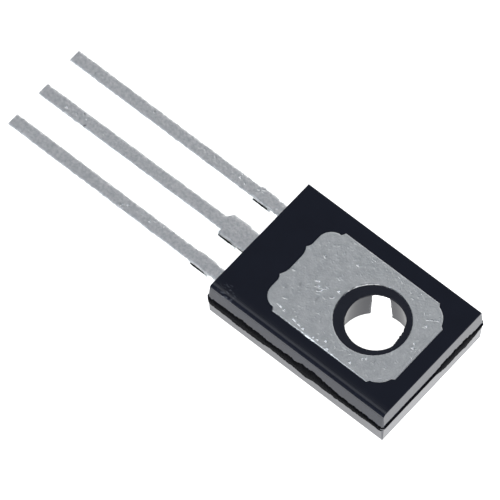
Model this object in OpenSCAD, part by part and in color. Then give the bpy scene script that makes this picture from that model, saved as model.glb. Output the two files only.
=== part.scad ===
// Flat-pack power transistor, lying on its plastic front with the metal mounting face up.
// Millimetres. The origin is on the axis of the mounting hole, in the plane of the metal
// face. +Z points out of the metal face, +Y towards the hole end, and the leads run to -Y.

/* [Case] */
// Width across the parting line
case_w = 7.46; // [6.8:0.02:8.4]
// Length along the parting line
case_l = 10.82; // [10.2:0.02:12.4]
// Thickness from the metal face to the moulded front
case_t = 2.5; // [2.4:0.05:3.2]
// Depth of the parting line below the metal face
parting_depth = 1.12; // [1.05:0.01:1.3]
// How far the case sits off the hole's axis, towards the base lead
case_off = 0.04; // [0:0.01:0.06]
// Draft of the long walls, in degrees, in the back half of the mould
side_draft = 6; // [3:0.5:7]
// Draft of the two end walls, in degrees, in the back half of the mould
end_draft = 4; // [2:0.5:6]
// Share of that draft that the front half of the mould has
front_draft = 0.7; // [0.5:0.05:1]
// Radius of the crisp edges round the metal face
back_edge_r = 0.06; // [0.04:0.01:0.15]
// Radius of the edges round the moulded front
front_edge_r = 0.12; // [0.06:0.01:0.2]
// Radius of the one soft long edge of each mould half: back on +X, front on -X
soft_edge_r = 0.32; // [0.2:0.01:0.4]
// Cut across the four upright corners
corner_cut = 0.1; // [0.06:0.01:0.3]
// How far the trimmed flash stands out of the walls
flash_out = 0.04; // [0.02:0.01:0.1]
// Thickness of the trimmed flash
flash_t = 0.08; // [0.05:0.01:0.15]

/* [Mounting hole] */
// Diameter of the straight land beside the metal face
bore_d = 3; // [2.8:0.02:3.2]
// Length of the straight land
bore_land = 0.2; // [0.1:0.05:1]
// Diameter of the mouth in the moulded front
bore_mouth_d = 3.6; // [3.3:0.02:3.9]
// Distance from the hole's axis to the hole end of the case
bore_to_end = 3.56; // [3.3:0.02:4.2]

/* [Collector tab] */
// Thickness of the tab
tab_t = 1.3; // [1.1:0.01:1.3]
// Width of the bare metal face
face_w = 5.44; // [5:0.02:5.6]
// Length of the bare metal face
face_l = 7.6; // [7.2:0.02:7.8]
// Distance from the tab hole's centre to the hole end of the bare face
face_to_end = 2.83; // [2.5:0.01:2.9]
// Corner radius at the hole end of the bare face
end_corner_r = 1.13; // [0.8:0.01:1.3]
// How far those corners are set back inside the face's straight edges
end_shoulder = 0.1; // [0.04:0.01:0.16]
// Corner radius at the lead end of the bare face
lead_corner_r = 0.75; // [0.4:0.01:1]
// How far the lead end is narrower than the face, on each side
lead_shoulder = 0.21; // [0.1:0.01:0.3]
// Distance of each moulding cusp from the centre line
cusp_x = 0.98; // [0.8:0.01:1.2]
// How far the cusps reach past the lead end of the face
cusp_reach = 0.14; // [0.04:0.01:0.18]
// How far the edge between the cusps is set back
cusp_set_back = 0.04; // [0.02:0.01:0.12]
// Length of the hollow flank outside each cusp
cusp_outside = 0.3; // [0.1:0.01:0.4]
// Length of the hollow flank between each cusp and the middle
cusp_inside = 0.55; // [0.3:0.01:0.7]
// Diameter of the hole punched in the tab
tab_hole_d = 3.76; // [3.5:0.02:4]
// Offset of the punched hole from the moulded hole, towards the leads
tab_hole_shift = 0.17; // [0:0.01:0.2]
// Height of the bare face above the buried flange
flange_depth = 0.35; // [0.25:0.01:0.5]
// How far the buried flange runs past the bare face, at the sides and hole end
flange_lip = 0.22; // [0.1:0.01:0.3]
// How far the buried flange runs past the bare face, at the lead end
flange_tail = 0.5; // [0.3:0.01:0.7]

/* [Leads] */
// Spacing of the leads
lead_pitch = 2.29; // [2.2:0.01:2.54]
// Width of a lead
lead_w = 0.69; // [0.6:0.01:0.8]
// Depth of the leads' upper face below the metal face
lead_depth = 1.35; // [1.3:0.01:1.5]
// Thickness of the lead strip
lead_t = 0.5; // [0.4:0.01:0.6]
// Length of the leads outside the case
lead_out = 13.44; // [8:0.02:16]
// How much longer the base lead was cut
base_longer = 0.07; // [0:0.01:0.3]
// Lean of the centre lead towards the emitter, in degrees
centre_lean = 0.4; // [0:0.1:1]
// Width of the collector lead beside the case
root_w = 1.19; // [1:0.01:1.4]
// Distance from the case to the sheared dam bar
dam_gap = 0.9; // [0.6:0.05:1.5]
// Width of the sheared dam bar
dam_w = 1.06; // [0.8:0.02:1.2]
// How far each stub of the dam bar stands out of its lead
dam_stub = 0.06; // [0.03:0.01:0.12]
// How far the shear pulled down the stubs' top edge, on the emitter side
dam_drop = 0.15; // [0.05:0.01:0.2]
// Length of the sloped shoulder where the centre lead narrows, on the base side
dam_slope = 0.25; // [0.1:0.01:0.4]
// Length of the slope that joins the collector lead to the tab
joggle_l = 0.6; // [0.4:0.05:0.8]
// Distance from the lead end of the case to the bonding pads inside
post_inset = 0.5; // [0.4:0.02:0.6]
// Length of the bonding pads
post_l = 0.95; // [0.7:0.01:1]
// Width of the bonding pads
post_w = 1.7; // [1.2:0.02:1.8]

/* [Chip and wires] */
// Side of the silicon chip
die_w = 2.2; // [1.6:0.05:2.4]
// Thickness of the chip
die_t = 0.22; // [0.15:0.01:0.25]
// Thickness of the solder under the chip
solder_t = 0.04; // [0.03:0.01:0.06]
// How far the solder shows round the chip
solder_rim = 0.1; // [0.05:0.01:0.15]
// Gap from the chip's solder to the punched hole
die_gap = 0.4; // [0.3:0.02:0.5]
// Diameter of the emitter's aluminium wire
emitter_wire_d = 0.25; // [0.15:0.01:0.3]
// Diameter of the base's aluminium wire
base_wire_d = 0.15; // [0.1:0.01:0.25]
// Plastic between the lowest wire and the moulded front
wire_cover = 0.26; // [0.2:0.01:0.3]
// Inner radius of the bends in the wires
wire_bend = 0.06; // [0.03:0.01:0.08]

/* [Hidden] */
$fn = 64;

arc_steps = 8;                     // flats in a rounded outline
edge_steps = 10;                   // flats in a rounded edge
flank_steps = 3;                   // flats in a cusp's hollow flank
nib_angle = 18;                    // where the hole end's corners leave the straight edges
span = case_l + lead_out;          // longer than anything that is cut

// levels, down from the metal face
parting_z = -parting_depth;
front_z = -case_t;
chip_side_z = -tab_t;              // the tab's buried face, which carries the chip
lead_z = -lead_depth;
lead_low_z = lead_z - lead_t;
die_z = chip_side_z - solder_t;
die_low_z = die_z - die_t;

// places along the object
lead_end_y = bore_to_end - case_l;
mid_y = bore_to_end - case_l / 2;
tip_y = lead_end_y - lead_out;
hole_y = -tab_hole_shift;
face_end_y = hole_y + face_to_end;
face_lead_y = face_end_y - face_l;
flange_lead_y = face_lead_y - flange_tail;
dam_y = lead_end_y - dam_gap;
post_y = lead_end_y + post_inset;
die_y = hole_y - tab_hole_d / 2 - die_gap - solder_rim - die_w / 2;

// centre of the rounding at the bare face's hole end, from the punched hole's centre
end_corner = [face_w / 2, face_to_end] - (end_shoulder + end_corner_r) * [1, 1];

// points of an arc about c, from angle a0 to a1
function arc(c, r, a0, a1, steps) =
    [for (i = [0:steps]) let (a = a0 + (a1 - a0) * i / steps) c + r * [cos(a), sin(a)]];

// the same points on the other side of the centre line, in the opposite order
function other_side(points) =
    [for (i = [len(points) - 1:-1:0]) [-points[i][0], points[i][1]]];

// half the width of a drafted wall at height z, given half its width at the parting line
function wall_x(half, draft, z) = half - abs(z - parting_z) * tan(draft);

// from the wall to the centre of an edge's rounding
function edge_in(draft, r) = r * (1 - sin(draft)) / cos(draft);

// One side of the case's upright section: a rounded edge at the front, a drafted wall, the
// trimmed flash, a drafted wall and a rounded edge at the back. Edges is [front, back] radii
function half_section(half, draft, edges) = let (
        front = draft * front_draft,
        low_z = parting_z - flash_t / 2,
        high_z = parting_z + flash_t / 2,
        flash_x = half + flash_out)
    concat(
        arc([wall_x(half, front, front_z) - edge_in(front, edges[0]), front_z + edges[0]],
            edges[0], -90, -front, edge_steps),
        [[wall_x(half, front, low_z), low_z], [flash_x, low_z],
         [flash_x, high_z], [wall_x(half, draft, high_z), high_z]],
        arc([wall_x(half, draft, 0) - edge_in(draft, edges[1]), -edges[1]],
            edges[1], draft, 90, edge_steps));

// The section carried through the case at a plan angle, 0 for the walls that face X, with
// the radii of its front and back edges on the plus side, then on the minus side
module case_bar(angle, half, draft, plus, minus) {
    translate([-case_off, mid_y, 0])
        rotate([0, 0, angle])
            rotate([90, 0, 0])
                linear_extrude(height = 2 * span, center = true)
                    polygon(concat(
                        half_section(half, draft, plus),
                        other_side(half_section(half, draft, minus))));
}

module case_blank() {
    crisp = [front_edge_r, back_edge_r];
    corner_x = (case_w / 2 + case_l / 2 - corner_cut) / sqrt(2);
    intersection() {
        case_bar(0, case_w / 2, side_draft,
                 [front_edge_r, soft_edge_r], [soft_edge_r, back_edge_r]);
        case_bar(90, case_l / 2, end_draft, crisp, crisp);
        case_bar(45, corner_x, end_draft, crisp, crisp);
        case_bar(-45, corner_x, end_draft, crisp, crisp);
    }
}

// Hole for the screw: a straight land at the metal face, then a taper to the front
module mounting_hole() {
    taper = case_t - bore_land;
    slope = (bore_mouth_d - bore_d) / taper;
    translate([0, 0, -bore_land - taper / 2])
        cylinder(h = 2 * bore_land + taper, d = bore_d);
    translate([0, 0, front_z - taper])
        cylinder(h = 2 * taper, d1 = bore_mouth_d + slope * taper, d2 = bore_d);
}

module case() {
    color("#1c1f2a")
        difference() {
            case_blank();
            mounting_hole();
            collector_frame();
            base_lead();
            emitter_lead();
            die_solder();
            silicon_die();
            base_wire();
            emitter_wire();
        }
}

// a cusp's hollow flank, from its foot to its tip, where it gets steeper
function hollow_flank(foot, tip, steps) =
    [for (i = [0:steps]) let (t = i / steps)
        [foot[0] + (tip[0] - foot[0]) * t, foot[1] + (tip[1] - foot[1]) * t * t]];

// Outline of the bare metal face, about the centre of the punched hole
module face_outline() {
    half = face_w / 2;
    low = face_to_end - face_l;
    tip = [cusp_x, low - cusp_reach];
    inside = [cusp_x - cusp_inside, low + cusp_set_back];
    outside = [cusp_x + cusp_outside, low];
    lead_corner = [half - lead_shoulder - lead_corner_r, low + lead_corner_r];
    nib = end_corner_r * sin(nib_angle) - end_shoulder;
    side = concat(
        hollow_flank(inside, tip, flank_steps),
        [for (i = [1:flank_steps]) hollow_flank(outside, tip, flank_steps)[flank_steps - i]],
        arc(lead_corner, lead_corner_r, -90, 0, arc_steps),
        [[half, lead_corner[1] + lead_shoulder / 2], [half, end_corner[1] + nib]],
        arc(end_corner, end_corner_r, nib_angle, 90 - nib_angle, arc_steps),
        [[end_corner[0] + nib, face_to_end]]);
    polygon(concat(side, other_side(side)));
}

// Outline of the buried flange that locks the tab into the moulding
module flange_outline() {
    half = face_w / 2 + flange_lip;
    low = face_to_end - face_l - flange_tail;
    side = concat(
        [[half - lead_corner_r, low], [half, low + lead_corner_r]],
        arc(end_corner, end_corner_r + end_shoulder + flange_lip, 0, 90, arc_steps));
    polygon(concat(side, other_side(side)));
}

// Straight strip in the lead plane, from y0 to y1 about the line x
module strip(x, y0, y1, w) {
    translate([x - w / 2, y0, lead_low_z])
        cube([w, y1 - y0, lead_t]);
}

// Sheared stubs of the dam bar, which joined the leads until they were trimmed. Each is
// rooted in the middle of its lead
module dam_stub_on(x, w) {
    reach = w / 2 + dam_stub;
    translate([x - reach, dam_y - dam_w, lead_low_z])
        cube([reach, dam_w, lead_t]);
    translate([x - w / 4, dam_y - dam_w, lead_low_z])
        cube([w / 4 + reach, dam_w, lead_t - dam_drop]);
}

// Slope that lifts the collector lead to the tab's buried side, with a flat at each end
// that runs into the lead and into the flange
module joggle() {
    start_y = flange_lead_y - joggle_l;
    flat_y = start_y - lead_t;
    seat_y = flange_lead_y + lead_t;
    rotate([90, 0, 90])
        linear_extrude(height = root_w, center = true)
            polygon([[flat_y, lead_low_z], [start_y, lead_low_z],
                     [flange_lead_y, chip_side_z], [seat_y, chip_side_z],
                     [seat_y, chip_side_z + lead_t], [flange_lead_y, chip_side_z + lead_t],
                     [start_y, lead_z], [flat_y, lead_z]]);
}

// Sloped shoulder between the centre lead and its stub, rooted inside both
module narrowing() {
    y = dam_y - dam_w;
    wide = root_w / 2 + dam_stub;
    translate([0, 0, lead_low_z])
        linear_extrude(height = lead_t)
            polygon([[0, y - dam_slope], [-lead_w / 2, y - dam_slope], [-wide, y],
                     [-wide, y + dam_w / 4], [0, y + dam_w / 4]]);
}

// Tab and centre lead, stamped from one piece of two-gauge copper strip
module collector_frame() {
    color("#a3a6aa") {
        difference() {
            translate([0, hole_y, 0])
                union() {
                    translate([0, 0, chip_side_z])
                        linear_extrude(height = tab_t)
                            face_outline();
                    translate([0, 0, chip_side_z])
                        linear_extrude(height = tab_t - flange_depth)
                            flange_outline();
                }
            translate([0, hole_y, chip_side_z - tab_t])
                cylinder(h = 3 * tab_t, d = tab_hole_d);
        }
        joggle();
        strip(0, dam_y - dam_w, flange_lead_y - joggle_l, root_w);
        translate([0, dam_y, 0])
            rotate([0, 0, centre_lean])
                translate([0, -dam_y, 0])
                    strip(0, tip_y, dam_y, lead_w);
        dam_stub_on(0, root_w);
        narrowing();
    }
}

// Bonding pad at the inner end of an outer lead, with sloped shoulders that lock it in
module bonding_post(x) {
    slope = (post_w - lead_w) / 4;
    translate([x, post_y, lead_low_z])
        linear_extrude(height = lead_t)
            polygon([[-lead_w / 2, 0], [lead_w / 2, 0], [post_w / 2, slope],
                     [post_w / 2, post_l], [-post_w / 2, post_l], [-post_w / 2, slope]]);
}

module outer_lead(x, longer) {
    color("#a3a6aa") {
        strip(x, tip_y - longer, post_y + post_l / 2, lead_w);
        dam_stub_on(x, lead_w);
        bonding_post(x);
    }
}

module base_lead() {
    outer_lead(-lead_pitch, base_longer);
}

module emitter_lead() {
    outer_lead(lead_pitch, 0);
}

module square_plate(w, low_z, high_z) {
    translate([-w / 2, die_y - w / 2, low_z])
        cube([w, w, high_z - low_z]);
}

module die_solder() {
    color("#b9bcc2")
        square_plate(die_w + 2 * solder_rim, die_z, chip_side_z);
}

module silicon_die() {
    color("#4c5160")
        square_plate(die_w, die_low_z, die_z);
}

// Quarter bend of a wire in the XZ plane, about (x, z), starting at angle a
module wire_quarter(x, z, a, r, d) {
    translate([x, 0, z])
        rotate([90, 0, 0])
            rotate([0, 0, a])
                rotate_extrude(angle = 90)
                    translate([r, 0])
                        circle(d = d);
}

// Wire from the chip at point p to a bonding pad at point q, looped towards the front
module bond_wire(p, q, d) {
    reach = norm(q - p);
    r = wire_bend + d / 2;
    run_z = front_z + wire_cover + emitter_wire_d / 2;
    turn_z = run_z + r;
    translate([p[0], p[1], 0])
        rotate([0, 0, atan2(q[1] - p[1], q[0] - p[0])]) {
            translate([0, 0, turn_z])
                cylinder(h = die_low_z - turn_z, d = d);
            wire_quarter(r, turn_z, 180, r, d);
            translate([r, 0, run_z])
                rotate([0, 90, 0])
                    cylinder(h = reach - 2 * r, d = d);
            wire_quarter(reach - r, turn_z, 270, r, d);
            translate([reach, 0, turn_z])
                cylinder(h = lead_low_z - turn_z, d = d);
        }
}

// bond points, as shares of the chip and of the bonding pads
chip_bond = [die_w / 4, die_y - die_w / 4];
post_bond = [lead_pitch, post_y + post_l / 2];

module emitter_wire() {
    color("#d9dbde")
        bond_wire(chip_bond, post_bond, emitter_wire_d);
}

module base_wire() {
    color("#d9dbde")
        bond_wire([-chip_bond[0], chip_bond[1]], [-post_bond[0], post_bond[1]], base_wire_d);
}

case();
collector_frame();
base_lead();
emitter_lead();
silicon_die();
die_solder();
base_wire();
emitter_wire();
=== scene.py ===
# %% [markdown]
# A flat-pack power transistor, lying on its plastic front with the bare metal face up.
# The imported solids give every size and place. This file adds the finishes, the fine
# relief that a mould and a press leave, the light and the camera.

# %% Load the frame
import math
import bpy
import numpy as np
from mathutils import Matrix, Vector


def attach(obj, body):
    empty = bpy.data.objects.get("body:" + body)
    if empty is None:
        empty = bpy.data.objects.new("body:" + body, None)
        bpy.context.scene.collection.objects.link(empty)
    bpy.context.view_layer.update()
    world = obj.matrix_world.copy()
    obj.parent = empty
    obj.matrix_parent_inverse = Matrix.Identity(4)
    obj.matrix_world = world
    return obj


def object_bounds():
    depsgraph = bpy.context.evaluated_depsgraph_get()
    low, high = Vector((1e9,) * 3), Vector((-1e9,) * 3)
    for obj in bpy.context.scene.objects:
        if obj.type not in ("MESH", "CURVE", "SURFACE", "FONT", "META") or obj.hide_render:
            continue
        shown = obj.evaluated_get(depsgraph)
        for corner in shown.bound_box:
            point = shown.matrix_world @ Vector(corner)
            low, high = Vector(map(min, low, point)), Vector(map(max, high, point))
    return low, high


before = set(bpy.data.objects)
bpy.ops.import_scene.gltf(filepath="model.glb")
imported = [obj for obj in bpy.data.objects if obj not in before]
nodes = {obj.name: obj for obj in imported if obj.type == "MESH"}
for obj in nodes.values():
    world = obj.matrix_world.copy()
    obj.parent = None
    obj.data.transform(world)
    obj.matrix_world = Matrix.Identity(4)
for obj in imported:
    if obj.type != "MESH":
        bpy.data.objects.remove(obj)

MM = 0.001
cad_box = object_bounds()
print("CAD box, mm:", [round(v / MM, 2) for v in (*cad_box[0], *cad_box[1])])

# %% [markdown]
# The camera comes first, because every later choice is judged through it. A long lens far
# away keeps the edges of the case almost parallel, as in a catalogue picture of a small
# part. It looks down at about sixty degrees over the corner between the hole end and the
# emitter's side.

# %% Camera axes
AIM = Vector((0.90, -6.97, 0.0)) * MM  # the middle of the picture
AZIMUTH = 129.73  # degrees: 0 looks along +Y, 90 looks along -X
ELEVATION = 61.51
ROLL = 0.79
DISTANCE = 319.5 * MM
LENS = 487.0  # mm, on a sensor 36 mm wide
SENSOR = 36.0


def camera_axes(azimuth, elevation, roll):
    """Right, up and back vectors of a camera that looks at the origin. Back is the point
    on a unit sphere at that azimuth and elevation; roll turns the other two about it."""
    a, e, r = (math.radians(v) for v in (azimuth, elevation, roll))
    back = Vector((math.sin(a) * math.cos(e), -math.cos(a) * math.cos(e), math.sin(e)))
    level = Vector((math.cos(a), math.sin(a), 0.0))
    up = back.cross(level)
    right = math.cos(r) * level + math.sin(r) * up
    return right, back.cross(right), back


right, up, back = camera_axes(AZIMUTH, ELEVATION, ROLL)
print("the camera looks from:", [round(v, 3) for v in back])

# %% Camera
camera = bpy.data.objects.new("camera", bpy.data.cameras.new("camera"))
bpy.context.scene.collection.objects.link(camera)
camera.data.lens = LENS
camera.data.sensor_width = SENSOR
camera.data.clip_start = DISTANCE / 10
camera.data.clip_end = DISTANCE * 10
turn = Matrix((right, up, back)).transposed().to_4x4()
camera.matrix_world = Matrix.Translation(AIM + back * DISTANCE) @ turn
bpy.context.scene.camera = camera
print("camera at, mm:", [round(v / MM, 1) for v in camera.location])

# %% [markdown]
# Node materials could be built by hand in the shader editor. Here one small function adds a
# node, sets it and links it, so that a whole material reads as a short list. Colours are
# written as they look on a screen, and one function turns them to linear light.

# %% Colour and pattern size
def linear(code):
    """Linear RGBA of an sRGB hex colour: each channel through the sRGB curve."""
    v = np.array([int(code[i:i + 2], 16) for i in (1, 3, 5)]) / 255
    v = np.where(v > 0.04045, ((v + 0.055) / 1.055) ** 2.4, v / 12.92)
    return (*v.tolist(), 1.0)


def per_mm(size):
    """Texture scale that gives features of this size in millimetres."""
    return 1 / (size * MM)


print("mid grey #808080 is", round(linear("#808080")[0], 3), "in linear light")

# %% Material helpers
def add(tree, kind, links=None, **settings):
    """Adds a shader node, sets its properties and input values, and links its inputs."""
    node = tree.nodes.new(kind)
    for key, value in settings.items():
        if hasattr(node, key):
            setattr(node, key, value)
        else:
            node.inputs[key.replace("_", " ")].default_value = value
    for key, source in (links or {}).items():
        tree.links.new(source, node.inputs[key])
    return node


def new_material(name):
    """A new node material: its tree, its Principled shader and its Object coordinates."""
    material = bpy.data.materials.new(name)
    material.use_nodes = True
    tree = material.node_tree
    shader = tree.nodes["Principled BSDF"]
    place = tree.nodes.new("ShaderNodeTexCoord").outputs["Object"]
    return material, tree, shader, place


# %% [markdown]
# Epoxy moulding compound is a filled thermoset, moulded against polished steel: nearly
# black, faintly blue, and glossy enough to mirror a table. Handling dulls it where it
# stands proud, so it is rougher on the rim of the hole and toward the edge over the
# emitter's side, which spreads a lamp's mirror image there into a soft light line.

# %% Gloss of the epoxy
RIM_R = (2.05, 2.15)  # mm from the hole's axis, between which the worn rim ends
WORN_X = (2.98, 3.42)  # mm, between which the worn edge begins
TOP_Z = (-0.055, -0.02)  # mm, between which a wall becomes the top


def epoxy_gloss(tree, place, cloud):
    """Roughness = 0.06 to 0.13 with the cloud + (rim + edge) * nearness of the top."""
    polish = add(tree, "ShaderNodeMapRange", {"Value": cloud}, To_Min=0.06, To_Max=0.13)
    part = add(tree, "ShaderNodeSeparateXYZ", {"Vector": place})
    flat = add(tree, "ShaderNodeCombineXYZ", {"X": part.outputs["X"], "Y": part.outputs["Y"]})
    off_axis = add(tree, "ShaderNodeVectorMath", {0: flat.outputs["Vector"]},
                   operation="LENGTH")
    rim = add(tree, "ShaderNodeMapRange", {"Value": off_axis.outputs["Value"]},
              From_Min=RIM_R[0] * MM, From_Max=RIM_R[1] * MM, To_Min=0.16, To_Max=0.0)
    edge = add(tree, "ShaderNodeMapRange", {"Value": part.outputs["X"]},
               From_Min=WORN_X[0] * MM, From_Max=WORN_X[1] * MM, To_Min=0.0, To_Max=0.28)
    worn = add(tree, "ShaderNodeMath", {0: rim.outputs["Result"], 1: edge.outputs["Result"]},
               operation="ADD")
    near_top = add(tree, "ShaderNodeMapRange", {"Value": part.outputs["Z"]},
                   From_Min=TOP_Z[0] * MM, From_Max=TOP_Z[1] * MM)
    scuff = add(tree, "ShaderNodeMath",
                {0: worn.outputs["Value"], 1: near_top.outputs["Result"]},
                operation="MULTIPLY")
    gloss = add(tree, "ShaderNodeMath",
                {0: polish.outputs["Result"], 1: scuff.outputs["Value"]}, operation="ADD")
    return gloss.outputs["Value"]


print("worn: rim inside", RIM_R[1], "mm, edge beyond", WORN_X[0], "mm")

# %% [markdown]
# Near the lead end something rubbed the soft edge and left a few pale, chalky streaks along
# it. They are a noise stretched along Y and cut to a small round patch.

# %% Chalky streaks
STREAKS_AT = (3.38, -6.3, 0.0)  # mm, the middle of the patch
STREAKS_R = (0.22, 0.62)  # mm, between which the patch fades out
STREAK_MM = 0.2


def chalky_streaks(tree, place):
    """Share of chalk: 1 in a streak within the patch, 0 elsewhere."""
    away = add(tree, "ShaderNodeVectorMath", {0: place}, operation="DISTANCE")
    away.inputs[1].default_value = [v * MM for v in STREAKS_AT]
    near = add(tree, "ShaderNodeMapRange", {"Value": away.outputs["Value"]}, To_Min=1.0,
               To_Max=0.0, From_Min=STREAKS_R[0] * MM, From_Max=STREAKS_R[1] * MM)
    stretched = add(tree, "ShaderNodeMapping", {"Vector": place}, Scale=(2.2, 0.8, 2.2))
    streak = add(tree, "ShaderNodeTexNoise", {"Vector": stretched.outputs["Vector"]},
                 Scale=per_mm(STREAK_MM), Detail=5.0)
    marks = add(tree, "ShaderNodeMapRange", {"Value": streak.outputs["Fac"]},
                From_Min=0.53, From_Max=0.63)
    chalk = add(tree, "ShaderNodeMath",
                {0: near.outputs["Result"], 1: marks.outputs["Result"]}, operation="MULTIPLY")
    return chalk.outputs["Value"]


print("chalky patch at", STREAKS_AT, "and", STREAKS_R[1], "mm round it")

# %% [markdown]
# The epoxy's own colour drifts slowly over a millimetre or two, where filler and resin
# parted a little. Its surface has a very fine orange peel. That is finer than a render of
# this size can show, so it is drawn at 0.12 mm, about as fine as still shows.

# %% Moulded epoxy
EPOXY_CLOUD_MM = 1.4
PEEL_MM = 0.12
EPOXY_IOR = 1.55
FIRST, SECOND, MIXED = 6, 7, 2  # a Mix node's sockets for two colours and their mixture


def moulded_epoxy():
    """Near-black epoxy: slow colour drift, worn gloss, chalky streaks, fine orange peel."""
    material, tree, shader, place = new_material("moulded_epoxy_compound")
    cloud = add(tree, "ShaderNodeTexNoise", {"Vector": place},
                Scale=per_mm(EPOXY_CLOUD_MM), Detail=4.0)
    tint = add(tree, "ShaderNodeValToRGB", {"Fac": cloud.outputs["Fac"]})
    tint.color_ramp.elements[0].color = linear("#1c202c")
    tint.color_ramp.elements[1].color = linear("#222735")
    chalked = add(tree, "ShaderNodeMix", {"Factor": chalky_streaks(tree, place)},
                  data_type="RGBA")
    chalked.inputs[SECOND].default_value = linear("#5c616b")
    peel = add(tree, "ShaderNodeTexNoise", {"Vector": place}, Scale=per_mm(PEEL_MM),
               Detail=3.0)
    bump = add(tree, "ShaderNodeBump", {"Height": peel.outputs["Fac"]},
               Strength=0.25, Distance=0.003 * MM)
    tree.links.new(tint.outputs["Color"], chalked.inputs[FIRST])
    tree.links.new(chalked.outputs[MIXED], shader.inputs["Base Color"])
    tree.links.new(epoxy_gloss(tree, place, cloud.outputs["Fac"]), shader.inputs["Roughness"])
    tree.links.new(bump.outputs["Normal"], shader.inputs["Normal"])
    shader.inputs["IOR"].default_value = EPOXY_IOR
    return material


finish = {"epoxy": moulded_epoxy()}
print("epoxy:", len(finish["epoxy"].node_tree.nodes), "nodes")

# %% [markdown]
# Matt tin on copper strip is soft and grey: a broad, low gloss with small cloudy changes
# where it was handled. Where something rubbed or nicked it, the tin is burnished and
# glints. A "rub" value on the piece's points says where that is. The bare face was plated
# flat, while the leads were dipped, which leaves a coarser, livelier skin.

# %% Tin plate
def tin_plate(name, dull, bright, cloud_mm, grain_mm, dent_mm):
    """Tin between two greys with clouds and grain of these sizes. Roughness goes from 0.44
    in the dull clouds to 0.34 in the bright ones, times (1 - rub)."""
    material, tree, shader, place = new_material(name)
    cloud = add(tree, "ShaderNodeTexNoise", {"Vector": place}, Scale=per_mm(cloud_mm),
                Detail=6.0, Roughness=0.65)
    tint = add(tree, "ShaderNodeValToRGB", {"Fac": cloud.outputs["Fac"]})
    tint.color_ramp.elements[0].position = 0.3
    tint.color_ramp.elements[1].position = 0.7
    tint.color_ramp.elements[0].color = linear(dull)
    tint.color_ramp.elements[1].color = linear(bright)
    grain = add(tree, "ShaderNodeTexNoise", {"Vector": place}, Scale=per_mm(grain_mm),
                Detail=4.0)
    gloss = add(tree, "ShaderNodeMapRange", {"Value": cloud.outputs["Fac"]},
                To_Min=0.44, To_Max=0.34)
    rub = add(tree, "ShaderNodeAttribute", attribute_name="rub")
    shine = add(tree, "ShaderNodeMath", {0: rub.outputs["Fac"], 1: gloss.outputs["Result"]},
                operation="MULTIPLY")
    rough = add(tree, "ShaderNodeMath",
                {0: gloss.outputs["Result"], 1: shine.outputs["Value"]}, operation="SUBTRACT")
    bump = add(tree, "ShaderNodeBump", {"Height": grain.outputs["Fac"]},
               Strength=0.8, Distance=dent_mm * MM)
    tree.links.new(tint.outputs["Color"], shader.inputs["Base Color"])
    tree.links.new(rough.outputs["Value"], shader.inputs["Roughness"])
    tree.links.new(bump.outputs["Normal"], shader.inputs["Normal"])
    shader.inputs["Metallic"].default_value = 1.0
    return material


finish["plated_tin"] = tin_plate("matt_tin_plate", "#d6dadb", "#f1f4f4", 0.5, 0.11, 0.0115)
finish["dipped_tin"] = tin_plate("dipped_tin", "#d4d9da", "#ffffff", 0.17, 0.1, 0.012)
print("two skins of tin:", finish["plated_tin"].name, finish["dipped_tin"].name)

# %% [markdown]
# Where the mould's flash broke off, the epoxy is torn. Its flat black, almost without gloss,
# is painted shade: it darkens the torn band at the parting line and the threads on the
# sheared ledges. Its crumbs are about a tenth of a millimetre, the size of the filler's
# clumps.

# %% Torn epoxy, its black painted as shade
CRUMB_MM = 0.09


def torn_epoxy_painted_shade():
    """Black crumbs, almost without gloss: painted shade."""
    material, tree, shader, place = new_material("torn_epoxy_painted_shade")
    crumb = add(tree, "ShaderNodeTexNoise", {"Vector": place}, Scale=per_mm(CRUMB_MM),
                Detail=5.0)
    tint = add(tree, "ShaderNodeValToRGB", {"Fac": crumb.outputs["Fac"]})
    tint.color_ramp.elements[0].position = 0.35
    tint.color_ramp.elements[1].position = 0.75
    tint.color_ramp.elements[0].color = linear("#07080b")
    tint.color_ramp.elements[1].color = linear("#15161b")
    bump = add(tree, "ShaderNodeBump", {"Height": crumb.outputs["Fac"]},
               Strength=0.8, Distance=0.015 * MM)
    tree.links.new(tint.outputs["Color"], shader.inputs["Base Color"])
    tree.links.new(bump.outputs["Normal"], shader.inputs["Normal"])
    shader.inputs["Roughness"].default_value = 0.85
    shader.inputs["Specular IOR Level"].default_value = 0.06
    return material


finish["torn_epoxy_painted_shade"] = torn_epoxy_painted_shade()
print("torn epoxy:", len(finish["torn_epoxy_painted_shade"].node_tree.nodes), "nodes")

# %% [markdown]
# The chip and what joins it are sealed inside the epoxy, and show only when the case is
# hidden. Sawn silicon is a dark blue-grey mirror, solder is duller than tin, and drawn
# aluminium wire is bright with a fine grain. One function makes all three, because they
# differ only in colour, grain and gloss.

# %% Materials inside the case
def bare_metal(name, dark, light, grain_mm, smooth, rough, depth_mm):
    """A metal between two colours, with grain of this size and depth, and roughness from
    smooth to rough with that grain."""
    material, tree, shader, place = new_material(name)
    cloud = add(tree, "ShaderNodeTexNoise", {"Vector": place}, Scale=per_mm(grain_mm),
                Detail=4.0)
    tint = add(tree, "ShaderNodeValToRGB", {"Fac": cloud.outputs["Fac"]})
    tint.color_ramp.elements[0].color = linear(dark)
    tint.color_ramp.elements[1].color = linear(light)
    gloss = add(tree, "ShaderNodeMapRange", {"Value": cloud.outputs["Fac"]},
                To_Min=smooth, To_Max=rough)
    bump = add(tree, "ShaderNodeBump", {"Height": cloud.outputs["Fac"]},
               Strength=0.5, Distance=depth_mm * MM)
    tree.links.new(tint.outputs["Color"], shader.inputs["Base Color"])
    tree.links.new(gloss.outputs["Result"], shader.inputs["Roughness"])
    tree.links.new(bump.outputs["Normal"], shader.inputs["Normal"])
    shader.inputs["Metallic"].default_value = 1.0
    return material


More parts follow.
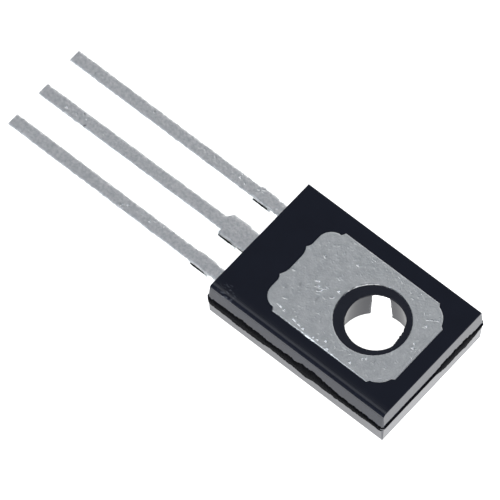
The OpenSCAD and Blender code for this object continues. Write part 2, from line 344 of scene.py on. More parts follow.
finish["silicon"] = bare_metal("sawn_silicon", "#4d5361", "#666d7c", 0.2, 0.1, 0.25, 0.001)
finish["solder"] = bare_metal("reflowed_solder", "#8d9093", "#a7a9ab", 0.08, 0.35, 0.55, 0.004)
finish["wire"] = bare_metal("drawn_aluminium", "#c3c5c8", "#dadcde", 0.05, 0.2, 0.35, 0.002)
print("finishes:", list(finish))

# %% [markdown]
# A solid could be painted face by face. Here each one is a single real material all over,
# so one finish for a whole solid is enough, and a table pairs them.

# %% Every solid gets its finish
wears = {"case": "epoxy", "collector_frame": "plated_tin", "base_lead": "dipped_tin",
         "emitter_lead": "dipped_tin", "silicon_die": "silicon", "die_solder": "solder",
         "base_wire": "wire", "emitter_wire": "wire"}
for name, node in nodes.items():
    node.data.materials.clear()
    node.data.materials.append(finish[wears[name]])
print("solids:", wears)

# %% [markdown]
# Sheared and stamped strip never has a knife edge. A small bevel on the metal's edges
# catches the light as the real ones do. The weld only lets the bevel see which faces meet,
# and leaves the solid's own mesh alone, because both are modifiers.

# %% Worn edges of the strip
SHEAR_EDGE = 0.025 * MM
for name in ("collector_frame", "base_lead", "emitter_lead"):
    weld = nodes[name].modifiers.new("weld", "WELD")
    weld.merge_threshold = 0.0005 * MM
    bevel = nodes[name].modifiers.new("shear_edge", "BEVEL")
    bevel.width = SHEAR_EDGE
    bevel.segments = 2
    bevel.limit_method = "ANGLE"
    bevel.angle_limit = math.radians(35)
    print(name, "has edges broken by", round(SHEAR_EDGE / MM, 3), "mm")

# %% [markdown]
# The new pieces are surfaces worked out with numpy: a grid of points, one array for each
# coordinate, that closes on itself like a ring or ends in two poles. Random relief comes
# from one seeded noise function, so that each run gives the same surface.

# %% Seeded noise
LATTICE = 64  # cells each way before the noise repeats


def noise(x, y, step, seed):
    """Value noise from -1 to 1. Random heights stand on a square lattice of this step; in a
    cell with corners a b c d and smooth fractions u v the height is
    (a(1-u) + bu)(1-v) + (c(1-u) + du)v, where u = f*f*(3 - 2f)."""
    heights = np.random.default_rng(seed).uniform(-1, 1, (LATTICE, LATTICE))
    gx, gy = np.broadcast_arrays(np.asarray(x) / step, np.asarray(y) / step)
    i, j = np.floor(gx).astype(int), np.floor(gy).astype(int)
    u, v = gx - i, gy - j
    u, v = u * u * (3 - 2 * u), v * v * (3 - 2 * v)
    corner = lambda di, dj: heights[(i + di) % LATTICE, (j + dj) % LATTICE]
    near = corner(0, 0) * (1 - u) + corner(1, 0) * u
    far = corner(0, 1) * (1 - u) + corner(1, 1) * u
    return near * (1 - v) + far * v


print("noise at one point:", round(float(noise(0.3, 0.7, 1.0, 1)), 4))

# %% [markdown]
# Blender has its own spheres and tubes, but none with this relief. A grid that closes on
# itself gives every new piece here its faces. Its enclosed volume shows whether they point
# outward, since it comes out negative when they don't.

# %% Faces of a closed grid
def grid_faces(rows, columns, poles):
    """Quads of a grid whose columns close on themselves. Its rows close too, or with poles
    two fans join the first and the last row to two more points."""
    index = np.arange(rows * columns).reshape(rows, columns)
    here, there = (index[:-1], index[1:]) if poles else (index, np.roll(index, -1, 0))
    quads = np.stack([here, np.roll(here, -1, 1), np.roll(there, -1, 1), there], -1)
    quads = quads.reshape(-1, 4)
    if not poles:
        return quads, np.empty((0, 3), int)
    first, last = np.full(columns, rows * columns), np.full(columns, rows * columns + 1)
    fans = np.concatenate([np.stack([first, np.roll(index[0], -1), index[0]], -1),
                           np.stack([last, index[-1], np.roll(index[-1], -1)], -1)])
    return quads, fans


def enclosed_volume(vertices, quads, fans):
    """Six times the volume is the sum of a . (b x c) over the triangles a b c."""
    triangles = np.concatenate([quads[:, [0, 1, 2]], quads[:, [0, 2, 3]], fans])
    a, b, c = (vertices[triangles[:, k]] for k in range(3))
    return (a * np.cross(b, c)).sum() / 6


print("a grid of 3 by 4 with poles has", sum(len(f) for f in grid_faces(3, 4, True)), "faces")

# %% Closed surface
def surface(name, points, look, poles=False, rub=None):
    """A smooth closed mesh through points[i, j] in millimetres. Each pole is the mean of its
    end row. A negative volume means that the faces look inward, so they are turned."""
    quads, fans = grid_faces(*points.shape[:2], poles)
    vertices = points.reshape(-1, 3)
    if poles:
        vertices = np.vstack([vertices, points[0].mean(0), points[-1].mean(0)])
    volume = enclosed_volume(vertices, quads, fans)
    if volume < 0:
        quads, fans = quads[:, ::-1], fans[:, ::-1]
    mesh = bpy.data.meshes.new(name)
    mesh.from_pydata((vertices * MM).tolist(), [], quads.tolist() + fans.tolist())
    mesh.polygons.foreach_set("use_smooth", np.ones(len(mesh.polygons), bool))
    if rub is not None:
        values = np.zeros(len(vertices), np.float32)
        values[:rub.size] = rub.ravel()
        mesh.attributes.new("rub", "FLOAT", "POINT").data.foreach_set("value", values)
    mesh.materials.append(finish[look])
    piece = bpy.data.objects.new(name, mesh)
    bpy.context.scene.collection.objects.link(piece)
    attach(piece, "root")
    print(name, "has", len(mesh.polygons), "faces and", round(abs(volume), 4), "mm3")
    return piece


# %% [markdown]
# The bare face is the back of the tab, pressed flat, tinned and then handled. It has the
# outline of the frame at its top plane. That outline is read from the solid, and a point
# on it is found from the angle about the punched hole, so that the sheet can be drawn as
# rings between the hole and the outline.

# %% Outline of the bare face
HOLE = np.array([0.0, -0.17])
HOLE_R = 1.88
PLANE = 1e-3  # mm, how near z = 0 a point of the top plane lies
top = np.array([v.co[:] for v in nodes["collector_frame"].data.vertices]) / MM
top = top[np.abs(top[:, 2]) < PLANE, :2] - HOLE
rim = np.unique(np.round(top[np.hypot(*top.T) > HOLE_R + 0.1], 4), axis=0)
rim = rim[np.argsort(np.arctan2(rim[:, 1], rim[:, 0]))]
turn_of_rim = np.arctan2(rim[:, 1], rim[:, 0])
print("outline of the face:", len(rim), "corners")


def face_reach(turn):
    """Distance from the hole's centre to the outline in direction u = (cos t, sin t). On the
    edge from A to B it is (A x (B - A)) / (u x (B - A))."""
    k = np.searchsorted(turn_of_rim, turn, side="right") % len(rim)
    a, edge = rim[k - 1], rim[k] - rim[k - 1]
    u = np.stack([np.cos(turn), np.sin(turn)], -1)
    cross = lambda p, q: p[..., 0] * q[..., 1] - p[..., 1] * q[..., 0]
    return cross(a, edge) / cross(u, edge)


# %% [markdown]
# Tumbling and testing leave shallow nicks in the soft tin. Each is a short groove, and the
# ones that glint are steep on one side, where a tool slipped. The larger ones are listed
# one by one, and fine stray marks are scattered between them from a seeded random order.

# %% Nicks and scuffs
NICKS = [  # x, y, length, direction in degrees from +X, half width, depth, all in mm
    (0.46, -3.05, 0.16, 125, 0.06, 0.026), (0.22, -2.92, 0.16, 125, 0.04, 0.02),
    (0.34, -3.29, 0.15, 120, 0.045, 0.022), (0.11, -3.45, 0.2, 115, 0.035, 0.016),
    (0.30, -3.12, 0.1, 140, 0.03, 0.014), (-0.09, -2.33, 0.05, 90, 0.05, 0.022),
    (0.35, -2.36, 0.14, 125, 0.04, 0.02), (-1.76, -2.55, 0.06, 90, 0.06, 0.014),
    (-1.12, -4.05, 0.06, 60, 0.06, 0.016), (2.32, -3.65, 0.05, 90, 0.045, 0.022),
    (2.43, -2.95, 0.2, 84, 0.03, 0.018), (2.48, -2.62, 0.16, 82, 0.03, 0.016),
    (2.27, -4.0, 0.3, 80, 0.03, 0.014), (2.52, -2.35, 0.08, 90, 0.04, 0.016),
    (2.56, -1.68, 0.05, 90, 0.035, 0.018), (2.52, -1.45, 0.08, 90, 0.03, 0.016),
    (2.6, -0.8, 0.1, 88, 0.035, 0.018), (2.33, -1.1, 0.06, 90, 0.045, 0.018),
    (2.45, 0.48, 0.05, 90, 0.05, 0.018), (1.93, 0.8, 0.05, 60, 0.04, 0.018),
    (1.8, 0.93, 0.05, 60, 0.04, 0.016), (1.65, 1.3, 0.2, 10, 0.04, 0.012),
    (-1.68, 1.82, 0.13, 118, 0.035, 0.02), (-1.8, 2.0, 0.14, 118, 0.035, 0.018),
    (-1.93, 2.2, 0.12, 118, 0.035, 0.016), (-1.35, 1.98, 0.05, 90, 0.06, 0.016),
    (-0.05, 2.22, 0.05, 90, 0.06, 0.014), (1.38, -4.45, 0.06, 90, 0.06, 0.012),
    (1.8, -4.05, 0.14, 110, 0.06, 0.012), (0.38, -4.7, 0.08, 90, 0.06, 0.012),
    (0.78, -4.0, 0.16, 20, 0.06, 0.012), (0.9, -2.9, 0.2, 10, 0.06, 0.01),
]
scatter = np.random.default_rng(11)
many = 560
stray = np.stack([scatter.uniform(-2.7, 2.7, many), scatter.uniform(-5, 2.6, many),
                  0.16 * scatter.random(many) ** 2, scatter.uniform(0, 180, many),
                  scatter.uniform(0.022, 0.045, many), 0.014 * scatter.random(many) ** 1.7],
                 -1)
print(len(NICKS), "nicks and", many, "stray marks, the deepest", round(stray[:, 5].max(), 3))

# %% Depth of the nicks
STEEP = 2.6  # how much steeper the short flank of a groove is
BURNISHED = 0.04  # mm, the depth at which a groove would be fully burnished
MOST_RUB = 0.55


def nick(x, y, marks):
    """Depth and rub of grooves exp(-(d / w)^2), where d is the distance from a segment of
    the given length and direction. A tool that slips leaves one long flank and one short
    one: on one side of the segment d counts STEEP times."""
    depth, rub = np.zeros_like(x), np.zeros_like(x)
    for cx, cy, length, direction, width, deep in marks:
        c, s = math.cos(math.radians(direction)), math.sin(math.radians(direction))
        along, across = (x - cx) * c + (y - cy) * s, (y - cy) * c - (x - cx) * s
        past = np.maximum(np.abs(along) - length / 2, 0)
        across = np.where(across < 0, STEEP * across, across)
        groove = np.exp(-(past ** 2 + across ** 2) / width ** 2)
        depth = np.maximum(depth, deep * groove)
        rub = np.maximum(rub, min(MOST_RUB, deep / BURNISHED) * np.exp(
            -(past ** 2 + across ** 2) / (1.3 * width) ** 2))
    return depth, rub


first_nick = np.array(NICKS[0][:2])[:, None]
print("depth at the first nick, mm:", nick(*first_nick, NICKS)[0].round(4))

# %% [markdown]
# The face's edge is broken wherever the mould nipped it, most along the emitter's side, and
# the hole's edge is broken over a short stretch. The width of that broken edge varies
# along it. It is worked out first, because the flat part of the sheet lies between.

# %% Broken edges of the face
turns = np.unique(np.concatenate([np.linspace(-math.pi, math.pi, 840, endpoint=False),
                                  turn_of_rim]))
reach = face_reach(turns)[:, None]
side_x = HOLE[0] + reach * np.cos(turns)[:, None]
side_y = HOLE[1] + reach * np.sin(turns)[:, None]
scuffed = np.clip((side_x - 2.5) / 0.15, 0, 1) * np.clip((2.4 - side_y) / 3, 0.3, 1)
ragged = noise(side_y, side_x, 0.11, 3) * 0.5 + noise(side_y, side_x, 0.4, 4) * 0.5
outer_w = 0.02 + 0.06 * scuffed * np.clip(0.9 + 0.8 * ragged, 0.5, 1.4)
NIPPED = math.radians(-140)  # where the hole's edge is broken most
toward = np.cos(turns[:, None] - NIPPED)
hole_w = 0.025 + 0.035 * np.clip((toward - 0.55) / 0.3, 0, 1) * np.clip(
    0.9 + 0.8 * noise(turns[:, None], 0, 0.11, 5), 0.2, 1.5)
print("broken edge, mm: outline", outer_w.min().round(3), "to", outer_w.max().round(3),
      "and hole", hole_w.min().round(3), "to", hole_w.max().round(3))

# %% [markdown]
# One thin sheet carries the nicks as relief, because the solid below stays plain and
# exact. Radius and height are arrays over angle and share of the way from the hole to the
# outline. Seven more rings round off both edges and close the sheet underneath.

# %% Sheet of the bare face
SHEET = 0.036  # mm, how far the sheet stands above the solid's face
STEPS = 88
DEEPEST = 0.03  # mm
BURIED_Z = -0.02
share = np.linspace(0, 1, STEPS)[None, :]
inner_r, outer_r = HOLE_R + 0 * reach, reach
flat_in, flat_out = inner_r + hole_w, outer_r - outer_w
radius = flat_in + (flat_out - flat_in) * share
x = HOLE[0] + radius * np.cos(turns)[:, None]
y = HOLE[1] + radius * np.sin(turns)[:, None]
deep, rub = nick(x, y, NICKS)
light, _ = nick(x, y, stray)
z = SHEET - np.clip(deep + light, 0, DEEPEST)
z += 0.0022 * noise(x, y, 0.55, 6) + 0.0012 * noise(x, y, 0.17, 7)
print("relief of the face, mm:", z.min().round(4), "to", z.max().round(4))

# %% Close the sheet of the bare face
none = 0 * reach
edge_rings = [  # radius, height and rub
    (outer_r - 0.55 * outer_w, z[:, -1:] - 0.15 * outer_w, 0.6 * scuffed),
    (outer_r - 0.1 * outer_w, z[:, -1:] - 0.3 * outer_w, 0.6 * scuffed),
    (outer_r, 0.004 + none, none),
    (outer_r, BURIED_Z + none, none),
    (inner_r, BURIED_Z + none, none),
    (inner_r, 0.003 + none, none + 0.5),
    (inner_r + hole_w * 0.5, z[:, :1] - 0.5 * hole_w, none + 0.5),
]
all_r = np.concatenate([radius] + [r for r, _, _ in edge_rings], 1)
all_z = np.concatenate([z] + [h for _, h, _ in edge_rings], 1)
all_rub = np.concatenate([rub] + [k for _, _, k in edge_rings], 1)
points = np.stack([HOLE[0] + all_r * np.cos(turns)[:, None],
                   HOLE[1] + all_r * np.sin(turns)[:, None], all_z], -1)
surface("bare_face_sheet", points, "plated_tin", rub=all_rub)

# %% [markdown]
# The leads are sheared from the same strip and dipped in tin, which runs to uneven edges
# and picks up specks. Each lead gets a thin sheet of tin over its upper face: its edges
# follow the solid's and wander by a few hundredths, and its ends close in a point.

# %% Tin on a lead
LEAD_TOP = -1.35
TIN = 0.022  # mm, height of the tin above the solid
DROOP = 0.02  # mm, how far it rounds off at the edges
SKIRT = 0.1  # mm, how far it goes down round the lead
ROW = 0.02  # mm between rows of points
ALL_MARKS = 60
SPREAD_MARKS = 44  # the rest lie close together


def lead_marks(draw, x0, x1, y0, y1, scraped):
    """Nicks over the whole lead, the last of them moved to one scraped stretch of y and
    made deeper."""
    count, rest = ALL_MARKS, ALL_MARKS - SPREAD_MARKS
    marks = np.stack([draw.uniform(x0, x1, count), draw.uniform(y0, y1, count),
                      draw.uniform(0, 0.12, count), draw.uniform(20, 160, count),
                      draw.uniform(0.022, 0.04, count), 0.017 * draw.random(count) ** 1.3],
                     -1)
    marks[SPREAD_MARKS:, 1] = draw.uniform(*scraped, rest)
    marks[SPREAD_MARKS:, 5] = draw.uniform(0.008, 0.018, rest)
    return marks


def lead_sheet(name, left, right, seed, scraped):
    """Rows run along Y and columns across. Left and right are tables of (y, x); between
    them x = left + (right - left) u, and the edges droop by DROOP |2u - 1|^8."""
    y0, y1 = left[0][0] - 0.01, left[-1][0]
    y = np.linspace(y0, y1, int((y1 - y0) / ROW))[:, None]
    (ly, lx), (ry, rx) = np.array(left).T, np.array(right).T
    wander = lambda k: 0.011 + 0.01 * noise(y, 0, 0.23, seed + k) + 0.017 * noise(
        y, 0, 0.07, seed + k + 1)
    a, b = np.interp(y, ly, lx) - wander(0), np.interp(y, ry, rx) + wander(2)
    u = np.linspace(0, 1, 31)[None, :]
    x = a + (b - a) * u
    draw = np.random.default_rng(seed)
    deep, rub = nick(x, y + 0 * x, lead_marks(draw, a.min(), b.max(), y0, y1, scraped))
    z = LEAD_TOP + TIN - DROOP * np.abs(2 * u - 1) ** 8 - np.minimum(deep, 0.018)
    z = z + 0.002 * noise(x, y, 0.3, seed + 5) + 0.003 * noise(x, y, 0.09, seed + 6)
    low = LEAD_TOP - SKIRT + 0 * y
    x = np.concatenate([x, b - 0.004, b - 0.04, a + 0.04, a + 0.004], 1)
    z = np.concatenate([z, low + 0.03, low, low, low + 0.03], 1)
    rub = np.concatenate([rub] + [0 * y] * 4, 1)
    points = np.stack([x, y + 0 * x, z], -1)
    return surface(name, points, "dipped_tin", poles=True, rub=rub)


print("tin on a lead: rows every", ROW, "mm and", ALL_MARKS, "marks")

# %% [markdown]
# Each lead has its own outline, because the dam bar was sheared off a little outside one of
# its edges. The centre lead is wider at its root and leans slightly. The tables follow the
# solids' edges from the tip to the case, first the side toward -X and then the other.

# %% Tin on the three leads
CASE_END = -7.24  # a little inside the case
DAM = (-9.22, -8.16)  # y of the ledge that the dam bar leaves
TIP, BASE_TIP = -20.70, -20.77
EDGE = 0.02  # mm of y over which an outline steps
INNER, OUTER = 1.945, 2.635  # x of an outer lead's edges
LEDGE_W = 0.06
lead_sheet("base_lead_tin",
           [(BASE_TIP, -OUTER), (DAM[0] - EDGE, -OUTER), (DAM[0], -OUTER - LEDGE_W),
            (DAM[1], -OUTER - LEDGE_W), (DAM[1] + EDGE, -OUTER), (CASE_END, -OUTER)],
           [(BASE_TIP, -INNER), (CASE_END, -INNER)], 101, (-10.6, -8.9))
lead_sheet("emitter_lead_tin",
           [(TIP, INNER), (DAM[0] - EDGE, INNER), (DAM[0], INNER - LEDGE_W),
            (DAM[1], INNER - LEDGE_W), (DAM[1] + EDGE, INNER), (CASE_END, INNER)],
           [(TIP, OUTER), (CASE_END, OUTER)], 121, (-15.5, -11.5))
ROOT = 0.595  # x of the root's edges on the centre lead
lead_sheet("collector_lead_tin",
           [(TIP, -0.2574), (-9.47, -0.336), (DAM[0], -ROOT - LEDGE_W),
            (DAM[1], -ROOT - LEDGE_W), (DAM[1] + EDGE, -ROOT), (CASE_END, -ROOT)],
           [(TIP, 0.4325), (DAM[0], 0.3524), (DAM[0] + 0.01, ROOT), (CASE_END, ROOT)],
           141, (-19.6, -17.4))

# %% [markdown]
# The two halves of the mould meet on a line round the walls. Epoxy that crept between them
# is broken off by hand, and tears the walls on both sides of the line. The scar is one
# closed ring that follows the walls, so the walk round the case comes first: a rectangle
# with cut corners, and for each point of it the outward normal, blended at the corners.

# %% Walk round the case
CASE_MID = np.array([-0.04, -1.85])
CASE_HALF = np.array([3.73, 5.41])
CORNER = 0.1
WALK_POINTS = 1500
cut = CORNER / CASE_HALF
corners = np.array([(1, cut[1] - 1), (1, 1 - cut[1]), (1 - cut[0], 1), (cut[0] - 1, 1),
                    (-1, 1 - cut[1]), (-1, cut[1] - 1), (cut[0] - 1, -1), (1 - cut[0], -1)])
lengths = np.hypot(*((np.roll(corners, -1, 0) - corners) * CASE_HALF).T)
stations = np.concatenate([[0], np.cumsum(lengths)])
around = stations[-1]
s = np.linspace(0, around, WALK_POINTS, endpoint=False)
loop = np.vstack([corners, corners[:1]])
unit = np.stack([np.interp(s, stations, loop[:, k]) for k in (0, 1)], -1)
edge_of = np.searchsorted(stations, s, side="right") - 1
step = (np.roll(corners, -1, 0) - corners) * CASE_HALF / lengths[:, None]
normal = np.stack([step[edge_of, 1], -step[edge_of, 0]], -1)
normal = sum(np.roll(normal, k, 0) for k in range(-4, 5))
normal /= np.hypot(*normal.T)[:, None]
print("the walk round the case is", round(around, 2), "mm long")

# %% [markdown]
# How far the tear runs above and below the parting line changes along the way: widest on
# the emitter's side and on one half of the hole end, a hairline elsewhere. The tables give
# its two edges at a few places, and noise makes them ragged where it is wide.

# %% Edges of the scar
THIN = (-0.99, -1.15)
LONG_SIDE = [  # y, top and bottom of the scar in mm
    (-7.15, -0.97, -1.52), (-6.75, -0.96, -1.58), (-6.05, -0.9, -1.53), (-5.7, -0.92, -1.63),
    (-5.0, -0.88, -1.63), (-3.95, -0.88, -1.6), (-3.6, -0.96, -1.46), (-2.9, -0.94, -1.49),
    (-2.2, -0.88, -1.54), (-1.85, -0.92, -1.52), (-1.5, -0.75, -1.68), (-1.15, -0.74, -1.7),
    (-0.8, -0.68, -1.56), (-0.1, -0.82, -1.52), (0.6, -0.92, -1.48), (1.3, -1.02, -1.44),
    (2.0, -0.98, -1.42), (2.7, -1.0, -1.38), (3.45, -1.04, -1.36)]
HOLE_END = [  # x, top and bottom
    (3.5, *THIN), (-0.1, *THIN), (-0.3, -0.96, -1.24), (-0.6, -0.88, -1.38),
    (-1.0, -0.83, -1.46), (-2.0, -0.83, -1.46), (-2.4, -0.82, -1.54), (-2.8, -0.92, -1.42),
    (-3.1, -0.98, -1.36), (-3.4, -1.02, -1.24), (-3.55, *THIN)]
FAR_SIDE = [  # y, top and bottom
    (3.4, *THIN), (2.4, *THIN), (1.6, -0.96, -1.24), (-0.4, -0.94, -1.3), (-1.6, *THIN),
    (-3.8, *THIN), (-4.8, -0.96, -1.28), (-6.4, -0.98, -1.22), (-7.0, *THIN)]
start = CASE_MID - CASE_HALF + CORNER
from_start = CASE_MID - start + CASE_MID
table = [(y - start[1], a, b) for y, a, b in LONG_SIDE]
table += [(stations[2] + from_start[0] - x, a, b) for x, a, b in HOLE_END]
table += [(stations[4] + from_start[1] - y, a, b) for y, a, b in FAR_SIDE]
table += [(stations[6] + 0.1, *THIN), (stations[7] - 0.1, *THIN)]
table = np.array(table)
high = np.interp(s, table[:, 0], table[:, 1], period=around)
low = np.interp(s, table[:, 0], table[:, 2], period=around)
torn = np.clip((high - low - 0.2) / 0.25, 0.12, 1)
high += torn * (0.03 + 0.05 * noise(s, 0, 0.16, 21) + 0.035 * noise(s, 0, 0.06, 22))
low += torn * (-0.09 + 0.05 * noise(s, 0, 0.19, 23) + 0.035 * noise(s, 0, 0.07, 24))
print("scar goes through", len(table), "stations and is", (high - low).min().round(2), "to",
      (high - low).max().round(2), "mm wide")

# %% [markdown]
# The torn epoxy stands a little proud of the walls, bulging between its two edges and
# crumbled on top. A wall leans in by its draft above the parting line and by a smaller
# draft below it, so each point is put on its leaning wall and then lifted off it.

# %% Parting scar
PARTING = -1.12
BACK_DRAFT = np.tan(np.radians([6.0, 4.0]))
FRONT_DRAFT = np.tan(np.radians([4.2, 2.8]))
SCAR_BACK = -0.05  # mm, how deep the ring's back lies in the wall
across = np.linspace(0, 1, 15)[None, :]
height = high[:, None] + (low - high)[:, None] * across
square = np.abs(normal).max(1)[:, None]
lift = 0.002 + 0.056 * (1 - np.abs(2 * across - 1) ** 5) * np.clip(4 * square - 3, 0.5, 1)
lift = lift + 0.007 * noise(s[:, None], height, 0.09, 25) * (1 - np.abs(2 * across - 1) ** 3)


def wall(unit, normal, height, lift):
    """Points on the drafted walls. A wall stands its half width from the middle less
    |z - parting| * tan(draft); lift is added along the outward normal."""
    up = height - PARTING
    shrink = [np.where(up > 0, up * BACK_DRAFT[k], -up * FRONT_DRAFT[k]) for k in (0, 1)]
    out = [CASE_MID[k] + unit[:, k:k + 1] * (CASE_HALF[k] - shrink[k])
           + normal[:, k:k + 1] * lift for k in (0, 1)]
    return np.stack([*out, height], -1)


front = wall(unit, normal, height, lift)
behind = height[:, [-1, 7, 0]]
inside = wall(unit, normal, behind, SCAR_BACK + 0 * behind)
# The scar's black, glossless finish is painted shade along the parting line.
surface("parting_scar", np.concatenate([front, inside], 1), "torn_epoxy_painted_shade")

# %% [markdown]
# The pin that moulds the screw hole leaves a thin lip of epoxy at the metal face. It is
# broken away unevenly, so the hole's mouth isn't quite round. It is a ring whose inner
# radius follows the break, and it is chipped most near one place.

# %% Lip of the bore
LIP_TURN = np.arange(0, 360, 15)
LIP_R = np.array([1.49, 1.475, 1.49, 1.495, 1.495, 1.46, 1.35, 1.365, 1.405, 1.475, 1.47,
                  1.455, 1.445, 1.445, 1.45, 1.455, 1.435, 1.46, 1.435, 1.43, 1.445, 1.455,
                  1.465, 1.475])
BURIED_R = 1.57
LIP_MID, LIP_HALF = -0.055, 0.045  # mm, middle height and half thickness
CHIPPED_AT, CHIPPED_OVER = math.radians(95), math.radians(40)
t = np.linspace(0, 2 * math.pi, 720, endpoint=False)
arc = t * 1.5  # mm along the hole's wall
lip = np.interp(np.degrees(t), LIP_TURN, LIP_R, period=360)
chipped = np.clip(1.2 - np.abs(t - CHIPPED_AT) / CHIPPED_OVER, 0.25, 1)
lip += chipped * (0.03 * noise(arc, 0, 0.16, 31) + 0.02 * noise(arc, 0, 0.06, 33))
section = np.linspace(0, 2 * math.pi, 14, endpoint=False)[None, :]
mid_r, half_r = ((BURIED_R + lip) / 2)[:, None], ((BURIED_R - lip) / 2)[:, None]
ring_r = mid_r - half_r * np.cos(section)
ring_z = LIP_MID + LIP_HALF * np.sin(section) + 0.008 * noise(arc[:, None], 0, 0.3, 32)
surface("bore_lip", np.stack([ring_r * np.cos(t)[:, None], ring_r * np.sin(t)[:, None],
                              ring_z], -1), "epoxy")

# %% [markdown]
# A bar between the leads dams the epoxy during moulding and is sheared off afterwards. A
# thread of epoxy stays on the sheared ledge of each lead, and one runs along the centre
# lead's root. Each is a thin uneven thread that ends in two points.

# %% Threads of epoxy on the sheared ledges
def thread(name, x, y0, y1, z, half_width, half_height, seed):
    """A thread along Y: an ellipse carried from y0 to y1, shrunk at the ends by
    sqrt(1 - q^4), where q runs from -1 to 1, and roughened along its length."""
    q = np.linspace(-0.998, 0.998, 90)[:, None]
    a = np.linspace(0, 2 * math.pi, 12, endpoint=False)[None, :]
    y = (y0 + y1) / 2 + q * (y1 - y0) / 2
    size = np.sqrt(1 - q ** 4) * (1 + 0.35 * noise(y, 0, 0.07, seed))
    wander = 0.01 * noise(y, 0, 0.2, seed + 1)
    grid = [x + wander + half_width * size * np.cos(a), y + 0 * a,
            z + half_height * size * np.sin(a)]
    return surface(name, np.stack(grid, -1), "torn_epoxy_painted_shade", poles=True)


# The threads' black is partly real resin left by the dam bar and partly painted shade of the
# sheared ledges.
LEDGE_Z = -1.5
for k, (lead, x) in enumerate({"base": -1.915, "centre": 0.625, "emitter": 2.665}.items()):
    thread(f"dam_thread_{lead}", x, -9.2, -8.3, LEDGE_Z + 0.01, 0.033, 0.03, 41 + 2 * k)
thread("root_thread_centre", 0.6, -8.3, -7.5, LEDGE_Z + 0.03, 0.022, 0.05, 49)

# %% [markdown]
# The part lies on a lit white table, and its glossy walls mirror that table. A plain white
# plane under lamps would do for most objects. Here the table gives its own light, because
# then the level that each wall mirrors can be set, and the table keeps no shadow.

# %% Stage piece
def stage_piece(name, points, glow, paint="#000000"):
    """A flat grid of points, in millimetres, that gives light. Glow is its strength, or a
    function that builds nodes for it. Paint is black where it shouldn't pass light on."""
    rows, columns = points.shape[:2]
    index = np.arange(rows * columns).reshape(rows, columns)
    quads = np.stack([index[:-1, :-1], index[:-1, 1:], index[1:, 1:], index[1:, :-1]], -1)
    mesh = bpy.data.meshes.new(name)
    mesh.from_pydata((points.reshape(-1, 3) * MM).tolist(), [], quads.reshape(-1, 4).tolist())
    piece = bpy.data.objects.new(name, mesh)
    bpy.context.scene.collection.objects.link(piece)
    material, tree, shader, place = new_material(name + "_white")
    shader.inputs["Base Color"].default_value = linear(paint)
    shader.inputs["Roughness"].default_value = 0.9
    shader.inputs["Specular IOR Level"].default_value = 0.0
    shader.inputs["Emission Color"].default_value = linear("#ffffff")
    strength = shader.inputs["Emission Strength"]
    if callable(glow):
        tree.links.new(glow(tree, place), strength)
    else:
        strength.default_value = glow
    mesh.materials.append(material)
    print("stage:", name, "with", len(mesh.polygons), "faces")
    return piece


def ring(inner, outer, height):
    """Grid points of a flat ring about the hole's axis: r (cos t, sin t)."""
    t = np.linspace(0, 2 * math.pi, 181)
    r = np.array([inner, outer])[:, None]
    return np.stack([r * np.cos(t), r * np.sin(t), height + 0 * r * t], -1)


# %% [markdown]
# The hole end mirrors a brighter table than the long side does. Beside the long side, the
# foot of the wall mirrors the table close by and its top mirrors it far off, so the glow
# changes along X: bright, darker, then bright again beyond five millimetres.

# %% Table
GLOW = {"by_long_side": 1.16, "past_long_side": 0.83, "far_long_side": 1.9, "hole_end": 1.4}
NEAR_X, FAR_X = (4.1, 4.7), (5.4, 9.0)  # mm
DIAGONAL = (-2.0, 1.0)  # mm of Y - X over which the two sides' levels meet


def table_glow(tree, place):
    """Strength on the two sides of the diagonal Y = X through the case's visible corner.
    Beside the long side it also changes with distance from the wall, along X."""
    parts = add(tree, "ShaderNodeSeparateXYZ", {"Vector": place})
    near = add(tree, "ShaderNodeMapRange", {"Value": parts.outputs["X"]},
               From_Min=NEAR_X[0] * MM, From_Max=NEAR_X[1] * MM,
               To_Min=GLOW["by_long_side"], To_Max=GLOW["past_long_side"])
    far = add(tree, "ShaderNodeMapRange", {"Value": parts.outputs["X"]},
              From_Min=FAR_X[0] * MM, From_Max=FAR_X[1] * MM, To_Min=0.0,
              To_Max=GLOW["far_long_side"] - GLOW["past_long_side"])
    beside = add(tree, "ShaderNodeMath",
                 {0: near.outputs["Result"], 1: far.outputs["Result"]}, operation="ADD")
    along = add(tree, "ShaderNodeMath", {0: parts.outputs["Y"], 1: parts.outputs["X"]},
                operation="SUBTRACT")
    level = add(tree, "ShaderNodeMapRange",
                {"Value": along.outputs["Value"], "To Min": beside.outputs["Value"]},
                From_Min=DIAGONAL[0] * MM, From_Max=DIAGONAL[1] * MM,
                To_Max=GLOW["hole_end"])
    return level.outputs["Result"]


FLOOR_Z = cad_box[0][2] / MM
WINDOW_R = 1.85  # mm, a round window right under the screw hole
TABLE_R = 300
stage_piece("table", ring(WINDOW_R, TABLE_R, FLOOR_Z), table_glow, "#f4f4f4")

# %% [markdown]
# The glossy wall of the screw hole mirrors a sharp white strip between two grey ones. A
# lamp on the table would light everything else too. So the table has the window, and the
# light is far below it: a grey tray, a white spot where the camera looks through, and a
# bright lamp that only the hole's wall can mirror.

# %% Tray and spot below the window
LAMP_DROP = 100.0  # mm below the table
TRAY_R, SPOT_R = 200, 16
SPOT_RISE, LAMP_RISE = 0.5, 1  # mm above the tray
CENTRE = 0.01  # mm, a ring this small inside is as good as closed
TRAY_GLOW, SPOT_GLOW, LAMP_GLOW = 0.72, 1.25, 16.0
stage_piece("tray_below_window", ring(CENTRE, TRAY_R, FLOOR_Z - LAMP_DROP), TRAY_GLOW)
seen = np.array(back)[:2] / back[2] * -(LAMP_DROP - SPOT_RISE)
spot = ring(CENTRE, SPOT_R, FLOOR_Z - LAMP_DROP + SPOT_RISE) + [seen[0], seen[1], 0]
stage_piece("spot_seen_through_window", spot, SPOT_GLOW)

# %% [markdown]
# The lamp's outline isn't guessed. Rays from the camera that meet the strip on the hole's
# wall are mirrored there, once off a tapered wall and once off an upright one, and the
# lamp spans the places where they land.

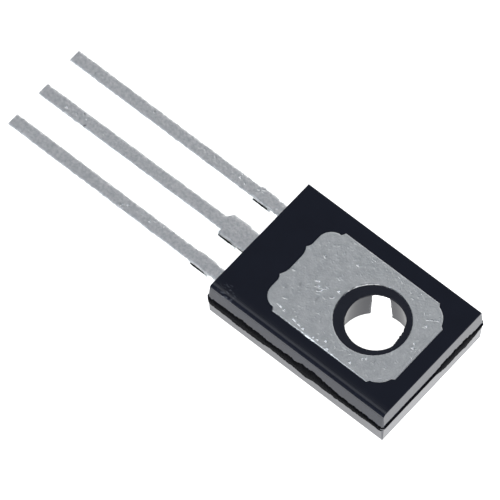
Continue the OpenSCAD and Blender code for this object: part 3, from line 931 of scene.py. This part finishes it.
# %% Lamp below the window
BORE_TAPER = math.atan2(0.3, 2.3)
LAMP_TURNS = np.radians(np.linspace(-166, -134, 17))  # the strip's place on the wall


def mirrored(turn, taper):
    """Where the camera's line of sight goes from the hole's wall, per unit of depth. The
    wall's normal n leans down by the taper, v points at the camera, and the mirrored
    direction is l = 2 (n.v) n - v."""
    n = np.stack([-np.cos(turn) * np.cos(taper), -np.sin(turn) * np.cos(taper),
                  -np.sin(taper) + 0 * turn], -1)
    v = np.array(back)
    l = 2 * (n @ v)[..., None] * n - v
    return l[..., :2] / -l[..., 2:]


taper_side, land_side = mirrored(LAMP_TURNS, BORE_TAPER), mirrored(LAMP_TURNS, 0.0)
k = np.linspace(-0.7, 1.3, 9)[:, None, None]
lamp = (taper_side + k * (land_side - taper_side)) * (LAMP_DROP - LAMP_RISE)
lamp_z = np.full(lamp.shape[:2] + (1,), FLOOR_Z - LAMP_DROP + LAMP_RISE)
stage_piece("lamp_below_window", np.concatenate([lamp, lamp_z], -1), LAMP_GLOW)
print("lamp lies, mm:", lamp.min((0, 1)).round(1), lamp.max((0, 1)).round(1))

# %% [markdown]
# The rest of the room is dark, with three soft lamps. One stands over the emitter's side
# and gives the metal its grey and the soft edge its thin light line. The other two keep
# the views from other sides from going black.

# %% Light
ROOM_GLOW = 0.13
SOFTBOX_DISTANCE = 0.3  # metres
SOFTBOXES = {  # azimuth and elevation in degrees, size in metres, radiance, tint
    "softbox_over_long_side": (27, 70, 0.145, 1.5, "#f2f7ff"),
    "softbox_behind_camera": (150, 35, 0.3, 1.1, "#ffffff"),
    "softbox_behind_leads": (-80, 28, 0.3, 1.1, "#ffffff"),
}
world = bpy.data.worlds.new("dark_room")
bpy.context.scene.world = world
world.use_nodes = True
world.node_tree.nodes["Background"].inputs["Color"].default_value = linear("#eef1ff")
world.node_tree.nodes["Background"].inputs["Strength"].default_value = ROOM_GLOW


def softbox(name, azimuth, elevation, size, radiance, tint):
    """A square area light that faces the part. Its power is its radiance times pi times
    its area, which is how a flat light of even brightness adds up."""
    _, _, away = camera_axes(azimuth, elevation, 0)
    light = bpy.data.lights.new(name, "AREA")
    light.size = size
    light.energy = radiance * math.pi * size * size
    light.color = linear(tint)[:3]
    lamp = bpy.data.objects.new(name, light)
    bpy.context.scene.collection.objects.link(lamp)
    lamp.location = AIM + away * SOFTBOX_DISTANCE
    lamp.rotation_mode = "QUATERNION"
    lamp.rotation_quaternion = away.to_track_quat("Z", "Y")
    print(name, "gives", round(light.energy, 4), "W")


for name, settings in SOFTBOXES.items():
    softbox(name, *settings)
bpy.context.scene.view_settings.view_transform = "Standard"
